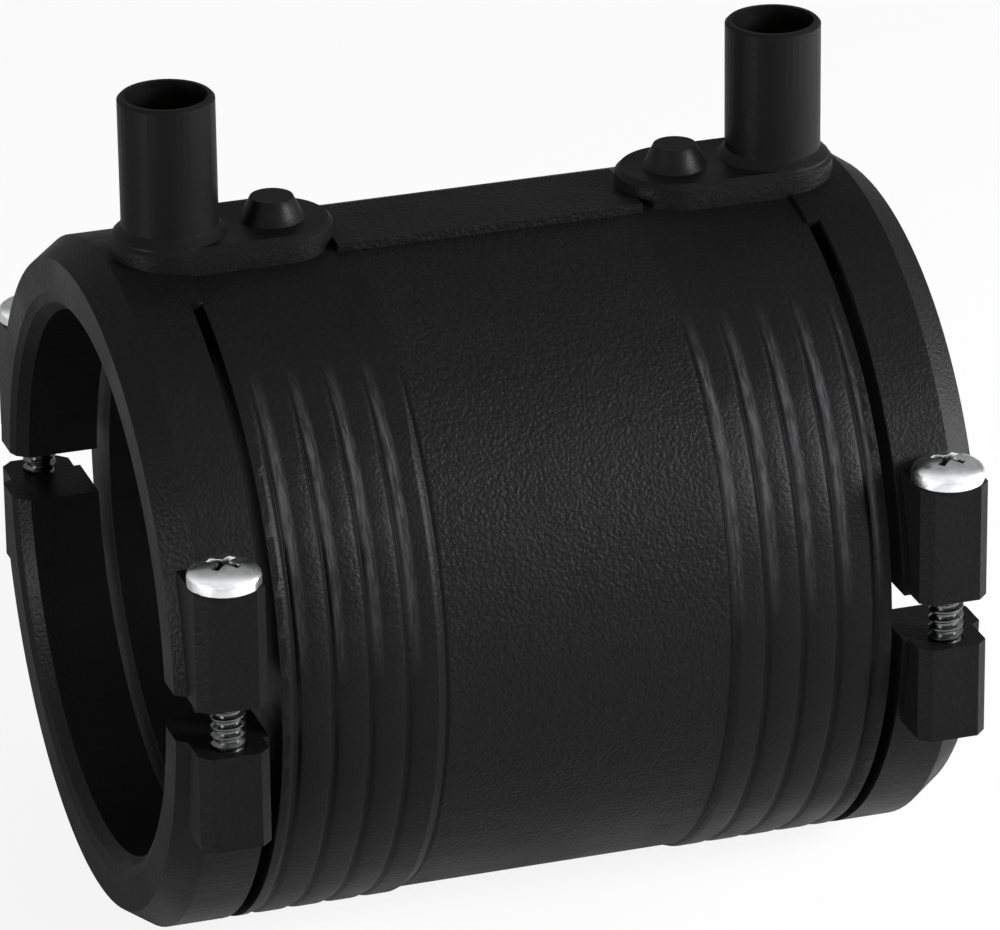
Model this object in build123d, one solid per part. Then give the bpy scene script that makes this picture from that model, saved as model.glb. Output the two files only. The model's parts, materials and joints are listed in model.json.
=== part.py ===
from build123d import *
import math
import os

# Electrofusion coupler for two 63 mm pipe ends.
# X runs along the bore, +Z points up through the two terminals, and the
# origin is the middle of the bore. All sizes are in millimetres.

# --- moulded socket -------------------------------------------------------
length = 96.0            # end face to end face
outer_r = 40.5           # over the end rings and the ribs
base_r = 40.1            # plain wall between the rings
bore_r = 32.0            # pipe socket
mouth_r = 33.0           # where the lead-in cone meets the mouth bevel
bevel_r = 34.2           # where the mouth bevel meets the end face
bevel_depth = 0.45
lead_in = 1.35           # length of the lead-in cone
face_r = 38.2            # outer edge of the flat end face
end_chamfer = 3.4        # length of the outer chamfer

# --- ribs round the two grip zones ----------------------------------------
rib_pitch = 4.35
rib_first = 19.2         # middle of the rib nearest mid-length
rib_count = 5            # the last one runs into the ring slot
rib_crest = 2.4
rib_valley_r = 40.15     # bottom of the groove between two ribs
rib_root_r = 39.0
rib_start_angle = 36.0   # the ribs rise out of the wall this far from the top
rib_full_angle = 52.0    # and reach full height here

# --- split clamp rings ----------------------------------------------------
ring_width = 10.2
slot_width = 1.5
slot_top_angle = 18.0    # the ring stays joined to the socket over the top
slot_bottom_angle = 12.0  # and along the bottom
split_height = 5.6
lug_front = 44.3         # distance of a lug's front face from the axis
lug_root = 36.0
lug_inset = 1.2          # lug set back from the end face
lug_setback = 0.8        # and from the slot
lug_top = 16.9
lug_bottom = -14.3
lug_chamfer = 1.3

# --- terminal pads, shrouds and contact pins ------------------------------
shroud_x = 36.5
pad_half_width = 7.0
pad_top = 42.6
pad_root = 36.0
pad_round = 0.6
shroud_r = 5.6
shroud_bore_r = 4.75
shroud_top = 59.0
shroud_floor = 44.6
shroud_flare = 1.0
shroud_edge = 0.35
contact_r = 2.0
contact_top = 55.8
contact_tip = 0.5
contact_root = 38.0
contact_root_r = 2.5     # thicker where the moulding grips it

# --- fusion indicators ----------------------------------------------------
indicator_x = 24.4
boss_base_r = 3.8
boss_top_r = 2.5
boss_height = 2.6
peg_r = 1.4
peg_drop = 0.3           # peg's end below the boss's rim before fusion
peg_root = 36.0

# --- plain plateau between the pads ---------------------------------------
plateau_half_width = 6.0
plateau_top = 40.7

# --- heating windings in the bore ------------------------------------------
winding_start = 12.0
winding_end = 31.0
winding_r = 33.2

# --- clamp screws ---------------------------------------------------------
screw_x = 42.7
screw_y = 41.0
shank_r = 2.0
shank_tip_z = -12.0
clearance_r = 2.2
head_r = 4.2
head_rim = 1.0
head_crown_r = 2.2
head_height = 2.6

half = length / 2
ring_inner = half - ring_width
slot_inner = ring_inner - slot_width


def spun(points):
    """Solid of revolution round X from (x, radius) points."""
    outline = Polyline(*[(x, 0, r) for x, r in points], close=True)
    return revolve(make_face(outline), Axis.X, 360)


def turned(points, x, y):
    """Solid of revolution round a vertical line at x, y from (radius, z) points."""
    outline = Polyline(*[(r, 0, z) for r, z in points], close=True)
    return Pos(x, y, 0) * revolve(make_face(outline), Axis.Z, 360)


def socket_shell():
    """The plain turned socket with its rings, mouths and winding recesses."""
    right = [
        (winding_start, bore_r),
        (winding_start, winding_r),
        (winding_end, winding_r),
        (winding_end, bore_r),
        (half - bevel_depth - lead_in, bore_r),
        (half - bevel_depth, mouth_r),
        (half, bevel_r),
        (half, face_r),
        (half - end_chamfer, outer_r),
        (slot_inner, outer_r),
        (slot_inner, base_r),
    ]
    left = [(-x, r) for x, r in reversed(right)]
    return spun(right + left)


def fade_cylinder():
    """Low-set cylinder that trims the ribs so that they rise out of the wall."""
    start = math.radians(rib_start_angle)
    full = math.radians(rib_full_angle)
    y_start, z_start = base_r * math.sin(start), base_r * math.cos(start)
    y_full, z_full = outer_r * math.sin(full), outer_r * math.cos(full)
    centre = (base_r**2 - outer_r**2) / (2 * (z_start - z_full))
    radius = math.hypot(y_start, z_start - centre)
    return Pos(0, 0, centre) * Rot(0, 90, 0) * Cylinder(radius, length)


def ribs():
    """Low tapered ribs round both grip zones, fading out over the top."""
    combs = []
    for side in (-1, 1):
        outline = [(side * (rib_first - rib_pitch / 2), rib_root_r)]
        for i in range(rib_count):
            middle = rib_first + i * rib_pitch
            outline += [
                (side * (middle - rib_pitch / 2), rib_valley_r),
                (side * (middle - rib_crest / 2), outer_r),
                (side * (middle + rib_crest / 2), outer_r),
            ]
        rib_end = rib_first + (rib_count - 0.5) * rib_pitch
        outline += [(side * rib_end, rib_valley_r), (side * rib_end, rib_root_r)]
        combs.append(spun(outline) & fade_cylinder())
    return combs


def ring_slots():
    """The slots that free each clamp ring, between its top and bottom bridges."""
    sweep = 180 - slot_top_angle - slot_bottom_angle
    slots = []
    for side in (-1, 1):
        x = side * (ring_inner + slot_inner) / 2
        low, high = bore_r - 2, outer_r + 2
        corners = Polyline(
            (x - slot_width / 2, 0, low),
            (x + slot_width / 2, 0, low),
            (x + slot_width / 2, 0, high),
            (x - slot_width / 2, 0, high),
            close=True,
        )
        front = Rot(slot_top_angle, 0, 0) * revolve(make_face(corners), Axis.X, sweep)
        slots += [front, mirror(front, about=Plane.XZ)]
    return slots


def ring_splits():
    """The gap cut across each clamp ring and its lugs on both sides."""
    depth = 20.0
    span = half - slot_inner + 1
    cuts = []
    for side_x in (-1, 1):
        for side_y in (-1, 1):
            x = side_x * (slot_inner + span / 2)
            y = side_y * (bore_r - 2 + depth / 2)
            cuts.append(Pos(x, y, 0) * Box(span, depth, split_height))
    return cuts


def lug(side_x, side_y, low, high):
    """One clamping lug with its two upright outer edges chamfered."""
    width = ring_width - lug_inset - lug_setback
    depth = lug_front - lug_root
    block = Box(width, depth, high - low)
    outward = Axis.Y if side_y > 0 else -Axis.Y
    edges = block.edges().filter_by(Axis.Z).sort_by(outward)[-2:]
    block = chamfer(edges, lug_chamfer)
    x = side_x * (ring_inner + lug_setback + width / 2)
    y = side_y * (lug_root + depth / 2)
    return Pos(x, y, (low + high) / 2) * block


def lugs():
    blocks = []
    for side_x in (-1, 1):
        for side_y in (-1, 1):
            blocks.append(lug(side_x, side_y, 0, lug_top))
            blocks.append(lug(side_x, side_y, lug_bottom, 0))
    return blocks


def screw_holes():
    """Clearance hole in each upper lug and threaded hole in each lower one."""
    holes = []
    for side_x in (-1, 1):
        for side_y in (-1, 1):
            place = Pos(side_x * screw_x, side_y * screw_y, 0)
            upper = Pos(0, 0, lug_top / 2) * Cylinder(clearance_r, lug_top)
            lower = Pos(0, 0, (lug_bottom - 1) / 2) * Cylinder(shank_r, 1 - lug_bottom)
            holes += [place * upper, place * lower]
    return holes


def pad(side):
    """Raised oblong pad that carries one shroud and one indicator boss."""
    reach = shroud_x - indicator_x
    plan = SlotCenterToCenter(reach, 2 * pad_half_width)
    block = Pos(0, 0, pad_root) * extrude(plan, pad_top - pad_root)
    block = chamfer(block.edges().group_by(Axis.Z)[-1], pad_round)
    return Pos(side * (shroud_x + indicator_x) / 2, 0, 0) * block


def shroud(side):
    """Round wall about a contact pin, flared where it leaves the pad."""
    outline = [
        (0, pad_root),
        (shroud_r + shroud_flare, pad_root),
        (shroud_r + shroud_flare, pad_top),
        (shroud_r, pad_top + shroud_flare),
        (shroud_r, shroud_top - shroud_edge),
        (shroud_r - shroud_edge, shroud_top),
        (shroud_bore_r, shroud_top),
        (shroud_bore_r, shroud_floor),
        (0, shroud_floor),
    ]
    return turned(outline, side * shroud_x, 0)


def indicator_boss(side):
    outline = [
        (0, pad_root),
        (boss_base_r, pad_root),
        (boss_base_r, pad_top),
        (boss_top_r, pad_top + boss_height),
        (0, pad_top + boss_height),
    ]
    return turned(outline, side * indicator_x, 0)


def plateau():
    span = 2 * (indicator_x - pad_half_width + 1)
    height = plateau_top - pad_root
    return Pos(0, 0, pad_root + height / 2) * Box(span, 2 * plateau_half_width, height)


def contact_pin(side):
    """Brass contact with a thicker root that anchors it in the moulding."""
    outline = [
        (0, contact_root),
        (contact_root_r, contact_root),
        (contact_root_r, shroud_floor),
        (contact_r, shroud_floor),
        (contact_r, contact_top - contact_tip),
        (contact_r - contact_tip, contact_top),
        (0, contact_top),
    ]
    return turned(outline, side * shroud_x, 0)


def fusion_indicator(side):
    """Peg that the melt pushes up to show that a joint has fused."""
    top = pad_top + boss_height - peg_drop
    outline = [
        (0, peg_root),
        (peg_r, peg_root),
        (peg_r, top),
        (0, top),
    ]
    return turned(outline, side * indicator_x, 0)


def fusion_coil(side):
    """Winding of coated wire, fused into one lining for a socket."""
    outline = [
        (side * winding_start, bore_r),
        (side * winding_end, bore_r),
        (side * winding_end, winding_r),
        (side * winding_start, winding_r),
    ]
    return spun(outline)


def clamp_screw(side_x, side_y):
    """Domed head on the upper lug, shank down into the lower lug."""
    outline = [
        (0, shank_tip_z),
        (shank_r, shank_tip_z),
        (shank_r, lug_top),
        (head_r, lug_top),
        (head_r, lug_top + head_rim),
        (head_crown_r, lug_top + head_height),
        (0, lug_top + head_height),
    ]
    return turned(outline, side_x * screw_x, side_y * screw_y)


def coupler_body():
    """The one-piece moulding: socket, rings, lugs, pads, shrouds and bosses."""
    body = socket_shell() + ribs()
    body += lugs()
    body -= ring_slots()
    body -= ring_splits()
    body -= screw_holes()
    body += plateau()
    for side in (-1, 1):
        body += [pad(side), shroud(side), indicator_boss(side)]
    for side in (-1, 1):
        body -= [contact_pin(side), fusion_indicator(side)]
    return body


sides = {"left": -1, "right": 1}
depths = {"front": -1, "back": 1}

nodes = {"coupler_body": coupler_body()}
for name, side in sides.items():
    nodes[f"fusion_coil_{name}"] = fusion_coil(side)
    nodes[f"contact_pin_{name}"] = contact_pin(side)
    nodes[f"fusion_indicator_{name}"] = fusion_indicator(side)
    for place, depth in depths.items():
        nodes[f"clamp_screw_{name}_{place}"] = clamp_screw(side, depth)

os.makedirs("parts", exist_ok=True)
for name, shape in nodes.items():
    solids = shape.solids()
    export_step(solids[0] if len(solids) == 1 else shape, f"parts/{name}.step")
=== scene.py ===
"""Looks of an electrofusion coupler: grained black moulding, plated screws and brass contacts."""

import json
import math

import bmesh
import bpy
from mathutils import Matrix, Vector

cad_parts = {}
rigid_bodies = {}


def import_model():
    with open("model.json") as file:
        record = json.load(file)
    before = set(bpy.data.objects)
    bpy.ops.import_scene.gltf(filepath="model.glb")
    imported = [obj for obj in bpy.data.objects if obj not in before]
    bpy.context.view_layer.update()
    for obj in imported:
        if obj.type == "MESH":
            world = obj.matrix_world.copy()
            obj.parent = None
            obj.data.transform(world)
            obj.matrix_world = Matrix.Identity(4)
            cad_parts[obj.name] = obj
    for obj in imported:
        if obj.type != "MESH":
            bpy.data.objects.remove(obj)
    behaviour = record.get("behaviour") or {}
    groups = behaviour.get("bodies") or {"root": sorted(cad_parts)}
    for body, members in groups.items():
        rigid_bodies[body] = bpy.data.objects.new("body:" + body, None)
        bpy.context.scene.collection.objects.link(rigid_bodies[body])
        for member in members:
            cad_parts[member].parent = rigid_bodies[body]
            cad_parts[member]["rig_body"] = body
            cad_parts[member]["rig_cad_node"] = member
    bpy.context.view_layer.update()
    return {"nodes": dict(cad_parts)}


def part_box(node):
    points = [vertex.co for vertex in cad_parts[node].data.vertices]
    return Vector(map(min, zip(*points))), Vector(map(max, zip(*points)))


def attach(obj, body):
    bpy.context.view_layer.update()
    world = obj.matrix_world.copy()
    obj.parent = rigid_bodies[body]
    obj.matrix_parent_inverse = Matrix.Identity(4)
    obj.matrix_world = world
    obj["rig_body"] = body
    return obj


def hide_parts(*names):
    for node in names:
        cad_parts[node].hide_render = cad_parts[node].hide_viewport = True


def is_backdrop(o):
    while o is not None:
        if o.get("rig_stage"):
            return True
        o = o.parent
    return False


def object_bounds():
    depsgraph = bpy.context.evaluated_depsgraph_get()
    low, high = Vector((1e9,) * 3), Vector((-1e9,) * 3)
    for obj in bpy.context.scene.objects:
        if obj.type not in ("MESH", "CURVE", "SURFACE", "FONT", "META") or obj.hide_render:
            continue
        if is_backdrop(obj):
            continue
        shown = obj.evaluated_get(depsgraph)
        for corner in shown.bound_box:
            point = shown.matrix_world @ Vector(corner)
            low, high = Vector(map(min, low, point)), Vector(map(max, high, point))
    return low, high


bl_info = {
    "name": "Electrofusion Coupler",
    "version": (1, 0, 0),
    "blender": (4, 5, 0),
    "location": "3D View > Sidebar > Coupler",
    "description": "Dresses the coupler's solids with finished meshes and materials",
    "category": "Object",
}

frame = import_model()
MM = 0.001
ENDS = ("left", "right")
DEPTHS = ("front", "back")

SHARP_ANGLE = math.radians(28)
PIN_ROUND = 0.12 * MM
PEG_ROUND = 0.1 * MM

HEAD_HEIGHT = 2.6 * MM
HEAD_UNDER_EDGE = 0.12 * MM
SHANK_R = 2.0 * MM
TIP_TAPER = 0.8 * MM
RECESS_FLOOR_SHARE = (0.42, 0.7)
SCREW_STEPS = 48
THREAD_STEPS = 32

LINING_THICKNESS = 1.2 * MM
TURN_DIP = 0.22 * MM
TURN_STEPS = 6
WINDING_STEPS = 128


# --- settings -------------------------------------------------------------


class CouplerSizes(bpy.types.PropertyGroup):
    edge_round: bpy.props.FloatProperty(
        name="Edge rounding",
        description="Width of the rounding along the moulding's edges",
        default=0.28 * MM,
        unit="LENGTH",
    )
    grain: bpy.props.FloatProperty(
        name="Grain size",
        description="Spacing of the fine eroded grain on the moulding",
        default=0.45 * MM,
        unit="LENGTH",
    )
    waist_half: bpy.props.FloatProperty(
        name="Half waist",
        description="Half the length of the rougher middle band",
        default=17.8 * MM,
        unit="LENGTH",
    )
    rib_start: bpy.props.FloatProperty(
        name="Rib start",
        description="Distance of the innermost groove from mid-length",
        default=17.025 * MM,
        unit="LENGTH",
    )
    rib_pitch: bpy.props.FloatProperty(
        name="Rib pitch",
        description="Spacing of the ribs along the body",
        default=4.35 * MM,
        unit="LENGTH",
    )
    dome_height: bpy.props.FloatProperty(
        name="Dome height",
        description="Rise of a screw head's dome above its rim",
        default=1.6 * MM,
        unit="LENGTH",
    )
    thread_pitch: bpy.props.FloatProperty(
        name="Thread pitch",
        description="Rise of the screw thread in one turn",
        default=1.1 * MM,
        unit="LENGTH",
    )
    thread_depth: bpy.props.FloatProperty(
        name="Thread depth",
        description="Height of the screw thread above its core",
        default=0.42 * MM,
        unit="LENGTH",
    )
    recess_width: bpy.props.FloatProperty(
        name="Recess slot width",
        description="Width of one arm of the cross recess",
        default=0.95 * MM,
        unit="LENGTH",
    )
    recess_span: bpy.props.FloatProperty(
        name="Recess span",
        description="Length of the cross recess from arm end to arm end",
        default=4.6 * MM,
        unit="LENGTH",
    )
    recess_depth: bpy.props.FloatProperty(
        name="Recess depth",
        description="Depth of the cross recess below the crown",
        default=1.6 * MM,
        unit="LENGTH",
    )
    wire_pitch: bpy.props.FloatProperty(
        name="Winding pitch",
        description="Spacing of the coated wire's turns along the bore",
        default=2.2 * MM,
        unit="LENGTH",
    )


class CouplerColours(bpy.types.PropertyGroup):
    moulding: bpy.props.FloatVectorProperty(
        name="Moulding",
        description="Black polyethylene",
        default=(0.003, 0.003, 0.0031),
        size=3,
        subtype="COLOR",
    )
    # Pale grain and blotch colour, also used for the painted highlight on the rib flanks.
    moulding_pale_and_highlight: bpy.props.FloatVectorProperty(
        name="Moulding, pale grain",
        description="Greyer black of the grain's raised spots",
        default=(0.045, 0.045, 0.047),
        size=3,
        subtype="COLOR",
    )
    zinc: bpy.props.FloatVectorProperty(
        name="Zinc plate",
        description="Bright plated steel of the screws",
        default=(0.88, 0.89, 0.9),
        size=3,
        subtype="COLOR",
    )
    brass: bpy.props.FloatVectorProperty(
        name="Contact brass",
        description="Turned brass of the contact pins",
        default=(0.75, 0.56, 0.24),
        size=3,
        subtype="COLOR",
    )


def sizes():
    return bpy.context.scene.coupler_sizes


def colours():
    return bpy.context.scene.coupler_colours


# --- mesh helpers ---------------------------------------------------------


def pick(*objects):
    """Leave only these objects selected, the last one active."""
    bpy.ops.object.select_all(action="DESELECT")
    for obj in objects:
        obj.select_set(True)
    bpy.context.view_layer.objects.active = objects[-1]


def merge_close(piece):
    """Join corners that lie on one another."""
    pick(piece)
    bpy.ops.object.mode_set(mode="EDIT")
    bpy.ops.mesh.select_all(action="SELECT")
    bpy.ops.mesh.remove_doubles(threshold=1e-6)
    bpy.ops.object.mode_set(mode="OBJECT")


def copy_of_node(node, name):
    """Duplicate a CAD node and merge its loose triangles."""
    pick(frame["nodes"][node])
    bpy.ops.object.duplicate()
    piece = bpy.context.object
    piece.name = name
    piece.parent = None
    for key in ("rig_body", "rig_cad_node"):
        if key in piece:
            del piece[key]
    piece.data.materials.clear()
    merge_close(piece)
    return piece


def apply_modifier(piece, kind, **values):
    pick(piece)
    modifier = piece.modifiers.new(kind.title(), kind)
    for key, value in values.items():
        setattr(modifier, key, value)
    bpy.ops.object.modifier_apply(modifier=modifier.name)


def smooth(piece, degrees=35):
    pick(piece)
    bpy.ops.object.shade_smooth_by_angle(angle=math.radians(degrees))


def settle(piece):
    """Move a piece's place, turn and size into its mesh."""
    pick(piece)
    bpy.ops.object.transform_apply(location=True, rotation=True, scale=True)


def outward(piece):
    """Point all faces outwards."""
    merge_close(piece)
    bpy.ops.object.mode_set(mode="EDIT")
    bpy.ops.mesh.select_all(action="SELECT")
    bpy.ops.mesh.normals_make_consistent(inside=False)
    bpy.ops.object.mode_set(mode="OBJECT")


def round_edges(piece, width):
    apply_modifier(
        piece,
        "BEVEL",
        width=width,
        segments=2,
        limit_method="ANGLE",
        angle_limit=SHARP_ANGLE,
    )


def wire_outline(name, points, closed):
    """Object that holds only a chain of edges through the points."""
    bpy.ops.object.select_all(action="DESELECT")
    bpy.ops.mesh.primitive_plane_add(size=1, location=(0, 0, 0))
    piece = bpy.context.object
    piece.name = name
    mesh = bmesh.new()
    corners = [mesh.verts.new(point) for point in points]
    for first, second in zip(corners, corners[1:]):
        mesh.edges.new((first, second))
    if closed:
        mesh.edges.new((corners[-1], corners[0]))
    mesh.to_mesh(piece.data)
    mesh.free()
    return piece


def spin(piece, steps, axis):
    """Turn an outline once round an axis through the origin."""
    pick(piece)
    bpy.ops.object.mode_set(mode="EDIT")
    bpy.ops.mesh.select_all(action="SELECT")
    bpy.ops.mesh.spin(steps=steps, angle=2 * math.pi, center=(0, 0, 0), axis=axis)
    bpy.ops.object.mode_set(mode="OBJECT")
    outward(piece)


def move_to(piece, x, y):
    piece.location = (x, y, 0)
    settle(piece)


def cut(piece, tool):
    """Subtract the tool from the piece and remove the tool.

    The faces are cut into triangles first, so that every run gives the same mesh.
    """
    apply_modifier(piece, "TRIANGULATE")
    apply_modifier(piece, "BOOLEAN", object=tool, operation="DIFFERENCE", solver="EXACT")
    merge_close(piece)
    bpy.data.objects.remove(tool)


def place(piece, slot, *nodes):
    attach(piece, "root")
    if nodes:
        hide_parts(*nodes)


# --- materials ------------------------------------------------------------


class NodeSheet:
    """Short calls that add shader nodes to a tree and join them."""

    def __init__(self, tree):
        self.nodes = tree.nodes
        self.links = tree.links

    def spread(self, value, low, high, to_low, to_high):
        node = self.nodes.new("ShaderNodeMapRange")
        node.inputs["From Min"].default_value = low
        node.inputs["From Max"].default_value = high
        node.inputs["To Min"].default_value = to_low
        node.inputs["To Max"].default_value = to_high
        self.links.new(value, node.inputs["Value"])
        return node.outputs["Result"]

    def combine(self, operation, first, second=0.0):
        node = self.nodes.new("ShaderNodeMath")
        node.operation = operation
        for socket, value in zip(node.inputs, (first, second)):
            if isinstance(value, (int, float)):
                socket.default_value = value
            else:
                self.links.new(value, socket)
        return node.outputs["Value"]

    def product(self, first, *others):
        for other in others:
            first = self.combine("MULTIPLY", first, other)
        return first

    def rays(self, *kinds):
        """One for rays of any of these kinds."""
        path = self.nodes.new("ShaderNodeLightPath")
        seen = path.outputs[kinds[0]]
        for kind in kinds[1:]:
            seen = self.combine("MAXIMUM", seen, path.outputs[kind])
        return seen


class Finish(NodeSheet):
    """A node material on Object coordinates, built up step by step."""

    def __init__(self, name, metallic=0.0, specular=0.5):
        self.material = bpy.data.materials.new(name)
        self.material.use_nodes = True
        super().__init__(self.material.node_tree)
        self.shader = self.nodes["Principled BSDF"]
        self.shader.inputs["Metallic"].default_value = metallic
        self.shader.inputs["Specular IOR Level"].default_value = specular
        self.where = self.nodes.new("ShaderNodeTexCoord").outputs["Object"]
        self.normal = None

    def noise(self, size, detail=2.0, stretch=(1, 1, 1)):
        mapping = self.nodes.new("ShaderNodeMapping")
        mapping.inputs["Scale"].default_value = stretch
        self.links.new(self.where, mapping.inputs["Vector"])
        noise = self.nodes.new("ShaderNodeTexNoise")
        noise.inputs["Scale"].default_value = 1 / size
        noise.inputs["Detail"].default_value = detail
        self.links.new(mapping.outputs["Vector"], noise.inputs["Vector"])
        return noise.outputs["Fac"]

    def along(self, axis):
        split = self.nodes.new("ShaderNodeSeparateXYZ")
        self.links.new(self.where, split.inputs["Vector"])
        return split.outputs[axis]

    def colour(self, value, dark, pale):
        ramp = self.nodes.new("ShaderNodeValToRGB")
        ramp.color_ramp.elements[0].color = (*dark, 1)
        ramp.color_ramp.elements[1].color = (*pale, 1)
        self.links.new(value, ramp.inputs["Fac"])
        self.links.new(ramp.outputs["Color"], self.shader.inputs["Base Color"])

    def roughness(self, value):
        self.links.new(value, self.shader.inputs["Roughness"])

    def bump(self, height, distance):
        node = self.nodes.new("ShaderNodeBump")
        node.inputs["Distance"].default_value = distance
        self.links.new(height, node.inputs["Height"])
        if self.normal is not None:
            self.links.new(self.normal, node.inputs["Normal"])
        self.normal = node.outputs["Normal"]
        self.links.new(self.normal, self.shader.inputs["Normal"])


def valley_offset(finish, from_middle):
    """Signed distance along X from the nearest groove between two ribs."""
    turns = finish.combine("SUBTRACT", from_middle, sizes().rib_start)
    turns = finish.combine("DIVIDE", turns, sizes().rib_pitch)
    turns = finish.combine("ADD", turns, 0.5)
    across = finish.combine("SUBTRACT", finish.combine("FRACT", turns), 0.5)
    return finish.product(across, sizes().rib_pitch, finish.combine("SIGN", finish.along("X")))


def rib_zone(finish, from_middle):
    """One on the ribbed skin, fading out towards the top and inside the wall."""
    y = finish.along("Y")
    z = finish.along("Z")
    radius = finish.combine("SQRT", finish.combine("ADD", finish.product(y, y), finish.product(z, z)))
    start = sizes().rib_start
    return finish.product(
        finish.spread(radius, 38.5 * MM, 39.5 * MM, 0.0, 1.0),
        finish.spread(z, 26 * MM, 33.5 * MM, 1.0, 0.0),
        finish.spread(from_middle, start - 0.6 * MM, start - 0.4 * MM, 0.0, 1.0),
        finish.spread(from_middle, 35.0 * MM, 35.4 * MM, 1.0, 0.0),
    )


def scuff_and_flank_highlight(finish, from_middle, offset, zone):
    """One on one flank of each groove between the ribs, past the waist and fading out downwards:
    scuff streaks with a painted highlight.
    """
    scuff = finish.noise(0.3 * MM, stretch=(1, 0.12, 0.12))
    start = sizes().rib_start
    return finish.product(
        finish.spread(offset, 0.2 * MM, 0.45 * MM, 0.0, 1.0),
        finish.spread(offset, 1.0 * MM, 1.7 * MM, 1.0, 0.0),
        finish.spread(finish.along("Z"), 2 * MM, 18 * MM, 0.0, 1.0),
        finish.spread(scuff, 0.35, 0.65, 0.25, 1.0),
        finish.spread(from_middle, start - 0.1 * MM, start + 0.1 * MM, 0.0, 1.0),
        zone,
    )


def grain_reach(finish, from_middle):
    """Full grain on the waist, half past it, and less on what rises from the top."""
    edge = sizes().waist_half
    waist = finish.spread(from_middle, edge - 1.5 * MM, edge, 1.0, 0.5)
    raised = finish.spread(finish.along("Z"), 41 * MM, 42.6 * MM, 1.0, 0.3)
    return finish.product(waist, raised)


def grained_moulding():
    """Satin black polyethylene with an eroded grain, scuffed rib flanks with a painted highlight, and
    painted shade in the grooves between the ribs.
    """
    finish = Finish("grained_black_moulding", specular=0.07)
    grain = finish.noise(sizes().grain)
    blotch = finish.noise(9 * MM)
    from_middle = finish.combine("ABSOLUTE", finish.along("X"))
    reach = grain_reach(finish, from_middle)
    offset = valley_offset(finish, from_middle)
    zone = rib_zone(finish, from_middle)
    # Painted shade: the grooves between the ribs keep the plain dark colour, with no grain speckle or
    # flank highlight.
    near = finish.spread(finish.combine("ABSOLUTE", offset), 0.05 * MM, 0.5 * MM, 1.0, 0.0)
    off_groove = finish.spread(finish.product(near, zone), 0.0, 1.0, 1.0, 0.0)
    speckle = finish.product(finish.spread(grain, 0.35, 0.75, 0.0, 0.08), reach)
    # Grain speckle plus the flanks' scuff streaks with their painted highlight.
    pale_grain_and_highlight = finish.combine("ADD", speckle, scuff_and_flank_highlight(finish, from_middle, offset, zone))
    pale_grain_and_highlight = finish.product(pale_grain_and_highlight, off_groove)
    finish.colour(pale_grain_and_highlight, colours().moulding, colours().moulding_pale_and_highlight)
    shine = finish.spread(blotch, 0.3, 0.7, 0.36, 0.46)
    finish.roughness(finish.combine("ADD", shine, finish.product(reach, 0.06)))
    finish.bump(finish.product(grain, reach), 0.16 * MM)
    finish.bump(off_groove, 0.22 * MM)
    finish.bump(blotch, 0.12 * MM)
    return finish.material


def smooth_black(name):
    """Black polyethylene without grain, for pegs and the bore's lining."""
    finish = Finish(name, specular=0.06)
    blotch = finish.noise(2.5 * MM)
    finish.colour(blotch, colours().moulding, colours().moulding_pale_and_highlight)
    finish.roughness(finish.spread(blotch, 0.3, 0.7, 0.32, 0.46))
    finish.bump(finish.noise(0.6 * MM), 0.02 * MM)
    return finish.material


def recess_and_shank_shade(finish):
    """One on the screws' skin, low inside the cross recesses of their heads and on the shank and
    thread below them: painted shade.
    """
    low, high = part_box("clamp_screw_right_back")
    head_r = (high.x - low.x) / 2
    middle = (low + high) / 2
    aside = []
    for axis, centre in (("X", middle.x), ("Y", middle.y)):
        from_middle = finish.combine("ABSOLUTE", finish.along(axis))
        offset = finish.combine("SUBTRACT", from_middle, centre)
        aside.append(finish.product(offset, offset))
    share = finish.combine("DIVIDE", finish.combine("ADD", *aside), head_r**2)
    rise = finish.combine("SQRT", finish.combine("SUBTRACT", 1.0, share))
    dome = finish.product(rise, sizes().dome_height)
    dome = finish.combine("ADD", dome, high.z - sizes().dome_height)
    depth = finish.combine("SUBTRACT", dome, finish.along("Z"))
    shade = finish.spread(depth, 0.08 * MM, 0.5 * MM, 1.0, 0.1)
    outside = finish.spread(share, 0.4, 0.45, 0.0, 1.0)
    return finish.combine("MAXIMUM", shade, outside)


def zinc_plate():
    """Bright plated steel with faint brushing, cloudy spots, and painted shade in the cross recesses
    and on the shank and thread.
    """
    finish = Finish("zinc_plate", metallic=1.0)
    cloud = finish.noise(1.6 * MM, detail=3.0)
    # Painted shade: the ramp's dark end darkens the recesses and the shank and thread.
    cloud_and_shade = finish.product(finish.spread(cloud, 0.3, 0.7, 0.8, 1.0), recess_and_shank_shade(finish))
    finish.colour(cloud_and_shade, tuple(0.06 * c for c in colours().zinc), colours().zinc)
    finish.roughness(finish.spread(cloud, 0.3, 0.7, 0.16, 0.3))
    finish.bump(finish.noise(0.25 * MM, stretch=(1, 1, 3)), 0.008 * MM)
    return finish.material


def turned_brass():
    """Brass with fine turning marks round the pin."""
    finish = Finish("turned_brass", metallic=1.0)
    marks = finish.noise(0.2 * MM, stretch=(0.05, 0.05, 1))
    finish.colour(marks, tuple(0.85 * c for c in colours().brass), colours().brass)
    finish.roughness(finish.spread(marks, 0.3, 0.7, 0.2, 0.34))
    finish.bump(marks, 0.01 * MM)
    return finish.material


# --- pieces ---------------------------------------------------------------


def dress_small(node, width, material, slot):
    """Copy a small node, round its edges and give it its finish."""
    piece = copy_of_node(node, f"{node}_dressed")
    round_edges(piece, width)
    smooth(piece, 40)
    piece.data.materials.append(material)
    place(piece, slot, node)


class COUPLER_OT_moulding(bpy.types.Operator):
    """Dress the one-piece body: softened edges and eroded grain"""

    bl_idname = "coupler.moulding"
    bl_label = "Coupler Body"

    def execute(self, context):
        piece = copy_of_node("coupler_body", "coupler_moulding")
        smooth(piece, 16)
        round_edges(piece, sizes().edge_round)
        apply_modifier(piece, "WEIGHTED_NORMAL", keep_sharp=True)
        piece.data.materials.append(grained_moulding())
        place(piece, "black_moulding", "coupler_body")
        return {"FINISHED"}


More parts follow.
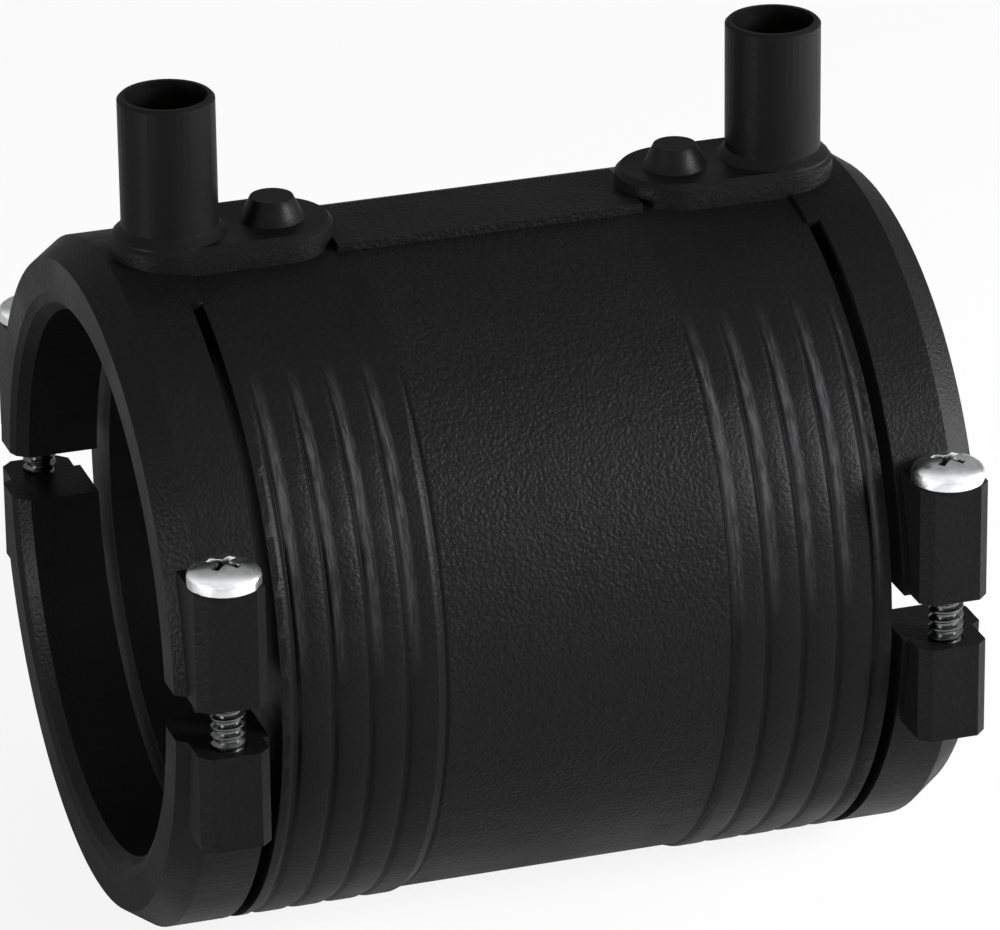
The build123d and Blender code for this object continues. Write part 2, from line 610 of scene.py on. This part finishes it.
class COUPLER_OT_clamp_screws(bpy.types.Operator):
    """Model the four clamp screws with threads and cross recesses"""

    bl_idname = "coupler.clamp_screws"
    bl_label = "Clamp Screws"

    def execute(self, context):
        material = zinc_plate()
        for end in ENDS:
            for depth in DEPTHS:
                node = f"clamp_screw_{end}_{depth}"
                piece = self.screw(node)
                piece.data.materials.append(material)
                place(piece, "plated_steel", node)
        return {"FINISHED"}

    def screw(self, node):
        low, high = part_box(node)
        x = (low.x + high.x) / 2
        y = (low.y + high.y) / 2
        head_r = (high.x - low.x) / 2
        seat = high.z - HEAD_HEIGHT
        core = SHANK_R - sizes().thread_depth
        outline = self.dome(head_r, high.z) + [
            (head_r, seat + HEAD_UNDER_EDGE),
            (head_r - HEAD_UNDER_EDGE, seat),
            (core, seat),
            (core, low.z + TIP_TAPER),
            (core - TIP_TAPER, low.z),
            (0, low.z),
        ]
        piece = wire_outline(f"{node}_dressed", [(r, 0, z) for r, z in outline], closed=False)
        spin(piece, SCREW_STEPS, (0, 0, 1))
        move_to(piece, x, y)
        for turn in (45, 135):
            cut(piece, self.recess_arm(x, y, high.z, turn))
        thread = self.thread(core, low.z + TIP_TAPER, seat)
        move_to(thread, x, y)
        pick(thread, piece)
        bpy.ops.object.join()
        smooth(piece, 40)
        return piece

    def dome(self, head_r, top):
        """(radius, z) points from the crown out to the rim."""
        points = []
        for step in range(10):
            angle = math.radians(10 * step)
            drop = sizes().dome_height * (1 - math.cos(angle))
            points.append((head_r * math.sin(angle), top - drop))
        return points

    def recess_arm(self, x, y, top, turn):
        """Tapered blade that cuts one slot of the cross recess."""
        depth = sizes().recess_depth
        above = 0.2 * MM
        bpy.ops.object.select_all(action="DESELECT")
        bpy.ops.mesh.primitive_cube_add(
            size=1,
            location=(x, y, top + (above - depth) / 2),
            rotation=(0, 0, math.radians(turn)),
            scale=(sizes().recess_span, sizes().recess_width, depth + above),
        )
        blade = bpy.context.object
        along, across = RECESS_FLOOR_SHARE
        bottom = [v for v in blade.data.vertices if v.co.z < 0]
        for vert in bottom:
            vert.co.x *= along
            vert.co.y *= across
        settle(blade)
        return blade

    def thread(self, core, bottom, top):
        """Helical ridge wound up the shank."""
        pitch = sizes().thread_pitch
        turns = int((top - bottom - pitch) / pitch)
        root = 0.42 * pitch
        flat = 0.07 * pitch
        inner = core - 0.05 * MM
        section = [(inner, -root), (SHANK_R, -flat), (SHANK_R, flat), (inner, root)]
        points = [(r, 0, bottom + root + z) for r, z in section]
        ridge = wire_outline("thread", points, closed=True)
        apply_modifier(
            ridge,
            "SCREW",
            axis="Z",
            angle=turns * 2 * math.pi,
            screw_offset=turns * pitch,
            steps=turns * THREAD_STEPS,
            render_steps=turns * THREAD_STEPS,
            use_merge_vertices=False,
            use_smooth_shade=False,
        )
        self.close_ends(ridge)
        outward(ridge)
        return ridge

    def close_ends(self, ridge):
        """Fill the open start and end of the ridge."""
        pick(ridge)
        bpy.ops.object.mode_set(mode="EDIT")
        bpy.ops.mesh.select_all(action="DESELECT")
        bpy.ops.mesh.select_non_manifold()
        bpy.ops.mesh.edge_face_add()
        bpy.ops.object.mode_set(mode="OBJECT")


class COUPLER_OT_contact_pins(bpy.types.Operator):
    """Finish the two contact pins in turned brass"""

    bl_idname = "coupler.contact_pins"
    bl_label = "Contact Pins"

    def execute(self, context):
        material = turned_brass()
        for end in ENDS:
            dress_small(f"contact_pin_{end}", PIN_ROUND, material, "contact_metal")
        return {"FINISHED"}


class COUPLER_OT_indicators(bpy.types.Operator):
    """Finish the two fusion indicator pegs"""

    bl_idname = "coupler.indicators"
    bl_label = "Fusion Indicators"

    def execute(self, context):
        material = smooth_black("indicator_plastic")
        for end in ENDS:
            dress_small(f"fusion_indicator_{end}", PEG_ROUND, material, "indicator_plastic")
        return {"FINISHED"}


class COUPLER_OT_windings(bpy.types.Operator):
    """Model the coated wire's turns on each socket's lining"""

    bl_idname = "coupler.windings"
    bl_label = "Heating Windings"

    def execute(self, context):
        material = smooth_black("coil_lining")
        for end in ENDS:
            node = f"fusion_coil_{end}"
            piece = self.winding(node)
            piece.data.materials.append(material)
            place(piece, "coil_lining", node)
        return {"FINISHED"}

    def winding(self, node):
        """Spin a scalloped sleeve, one scallop for each turn of wire."""
        low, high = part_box(node)
        outer = high.z
        inner = outer - LINING_THICKNESS
        span = high.x - low.x
        turns = round(span / sizes().wire_pitch)
        pitch = span / turns
        points = [(low.x, 0, outer)]
        for turn in range(turns):
            for step in range(TURN_STEPS):
                across = (step + 0.5) / TURN_STEPS
                dip = TURN_DIP * (2 * across - 1) ** 2
                points.append((low.x + (turn + across) * pitch, 0, inner + dip))
        points.append((high.x, 0, outer))
        piece = wire_outline(f"{node}_dressed", points, closed=True)
        spin(piece, WINDING_STEPS, (1, 0, 0))
        smooth(piece, 40)
        return piece


# --- stage ----------------------------------------------------------------


# Name, place and width in metres, and power in watts of each soft lamp.
LAMPS = (
    ("key_right", (0.68, -0.6, 0.36), 0.25, 7.0),
    ("front_right", (0.42, -0.32, 0.21), 0.14, 3.6),
    ("rim_right", (0.85, -0.1, 0.08), 0.3, 6.0),
    ("low_left", (-0.82, -0.3, 0.04), 0.3, 8.0),
)
FLOOR_GAP = 0.2 * MM
FLOOR_WIDTH = 6.0


def pale_floor():
    """Pale matt floor that looks near white, with the object's shadow kept faint."""
    material = bpy.data.materials.new("pale_floor")
    material.use_nodes = True
    sheet = NodeSheet(material.node_tree)
    matt = sheet.nodes["Principled BSDF"]
    matt.inputs["Base Color"].default_value = (0.75, 0.75, 0.75, 1)
    matt.inputs["Roughness"].default_value = 0.9
    white = sheet.nodes.new("ShaderNodeEmission")
    seen = sheet.rays("Is Camera Ray", "Is Transmission Ray")
    blend = sheet.nodes.new("ShaderNodeMixShader")
    sheet.links.new(sheet.product(seen, 0.88), blend.inputs["Fac"])
    sheet.links.new(matt.outputs["BSDF"], blend.inputs[1])
    sheet.links.new(white.outputs["Emission"], blend.inputs[2])
    sheet.links.new(blend.outputs["Shader"], sheet.nodes["Material Output"].inputs["Surface"])
    return material


def studio_world():
    """White to the camera, dimmer to matt surfaces, and with a dark patch for shiny ones."""
    world = bpy.data.worlds.new("studio")
    world.use_nodes = True
    sheet = NodeSheet(world.node_tree)
    where = sheet.nodes.new("ShaderNodeTexCoord")
    toward = sheet.nodes.new("ShaderNodeVectorMath")
    toward.operation = "DOT_PRODUCT"
    toward.inputs[1].default_value = Vector((0.3, 0.85, 0.42)).normalized()
    sheet.links.new(where.outputs["Generated"], toward.inputs[0])
    patch = sheet.spread(toward.outputs["Value"], 0.4, 0.85, 1.0, 0.3)
    shiny = sheet.rays("Is Glossy Ray", "Is Transmission Ray")
    lit = sheet.combine("MAXIMUM", sheet.product(shiny, patch), 0.3)
    strength = sheet.combine("MAXIMUM", sheet.rays("Is Camera Ray"), lit)
    background = sheet.nodes["Background"]
    background.inputs["Color"].default_value = (1, 1, 1, 1)
    sheet.links.new(strength, background.inputs["Strength"])
    return world


class COUPLER_OT_stage(bpy.types.Operator):
    """Set the pale floor, the soft lamps and the camera"""

    bl_idname = "coupler.stage"
    bl_label = "Stage"

    def execute(self, context):
        scene = context.scene
        scene.view_settings.view_transform = "Standard"
        scene.world = studio_world()
        self.floor()
        self.lamps()
        self.camera()
        return {"FINISHED"}

    def floor(self):
        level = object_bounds()[0][2] - FLOOR_GAP
        bpy.ops.object.select_all(action="DESELECT")
        bpy.ops.mesh.primitive_plane_add(size=FLOOR_WIDTH, location=(0, 0, level))
        floor = bpy.context.object
        floor.name = "floor"
        floor.data.materials.append(pale_floor())
        floor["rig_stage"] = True

    def lamps(self):
        for name, spot, size, power in LAMPS:
            light = bpy.data.lights.new(name, "AREA")
            light.size = size
            light.energy = power
            lamp = bpy.data.objects.new(name, light)
            bpy.context.scene.collection.objects.link(lamp)
            lamp.location = spot
            lamp.rotation_euler = (-Vector(spot)).to_track_quat("-Z", "Y").to_euler()

    def camera(self):
        """Look down at the front from the left, through a long lens."""
        azimuth = math.radians(17.92)
        elevation = math.radians(23.44)
        roll = math.radians(-0.72)
        distance = 837.7 * MM
        target = Vector((2.62, 0, 7.72)) * MM
        back = Vector(
            (
                -math.sin(azimuth) * math.cos(elevation),
                -math.cos(azimuth) * math.cos(elevation),
                math.sin(elevation),
            )
        )
        right = Vector((math.cos(azimuth), -math.sin(azimuth), 0))
        up = back.cross(right)
        tilted_right = math.cos(roll) * right + math.sin(roll) * up
        tilted_up = -math.sin(roll) * right + math.cos(roll) * up
        data = bpy.data.cameras.new("camera")
        data.sensor_width = 36
        data.lens = 257.1
        data.clip_start = 0.05
        data.clip_end = 20
        camera = bpy.data.objects.new("camera", data)
        bpy.context.scene.collection.objects.link(camera)
        turn = Matrix((tilted_right, tilted_up, back)).transposed().to_4x4()
        camera.matrix_world = Matrix.Translation(target + distance * back) @ turn
        bpy.context.scene.camera = camera


class COUPLER_PT_panel(bpy.types.Panel):
    """Lists the coupler's steps"""

    bl_label = "Electrofusion Coupler"
    bl_idname = "COUPLER_PT_panel"
    bl_space_type = "VIEW_3D"
    bl_region_type = "UI"
    bl_category = "Coupler"

    def draw(self, context):
        for step in STEPS:
            self.layout.operator(step.bl_idname)
        for group in (context.scene.coupler_sizes, context.scene.coupler_colours):
            for name in group.__annotations__:
                self.layout.prop(group, name)


STEPS = (
    COUPLER_OT_moulding,
    COUPLER_OT_clamp_screws,
    COUPLER_OT_contact_pins,
    COUPLER_OT_indicators,
    COUPLER_OT_windings,
    COUPLER_OT_stage,
)
CLASSES = (CouplerSizes, CouplerColours, *STEPS, COUPLER_PT_panel)


def register():
    for cls in CLASSES:
        bpy.utils.register_class(cls)
    bpy.types.Scene.coupler_sizes = bpy.props.PointerProperty(type=CouplerSizes)
    bpy.types.Scene.coupler_colours = bpy.props.PointerProperty(type=CouplerColours)


def unregister():
    del bpy.types.Scene.coupler_colours
    del bpy.types.Scene.coupler_sizes
    for cls in reversed(CLASSES):
        bpy.utils.unregister_class(cls)


def main():
    register()
    bpy.ops.coupler.moulding()
    bpy.ops.coupler.clamp_screws()
    bpy.ops.coupler.contact_pins()
    bpy.ops.coupler.indicators()
    bpy.ops.coupler.windings()
    bpy.ops.coupler.stage()


if __name__ == "__main__":
    main()
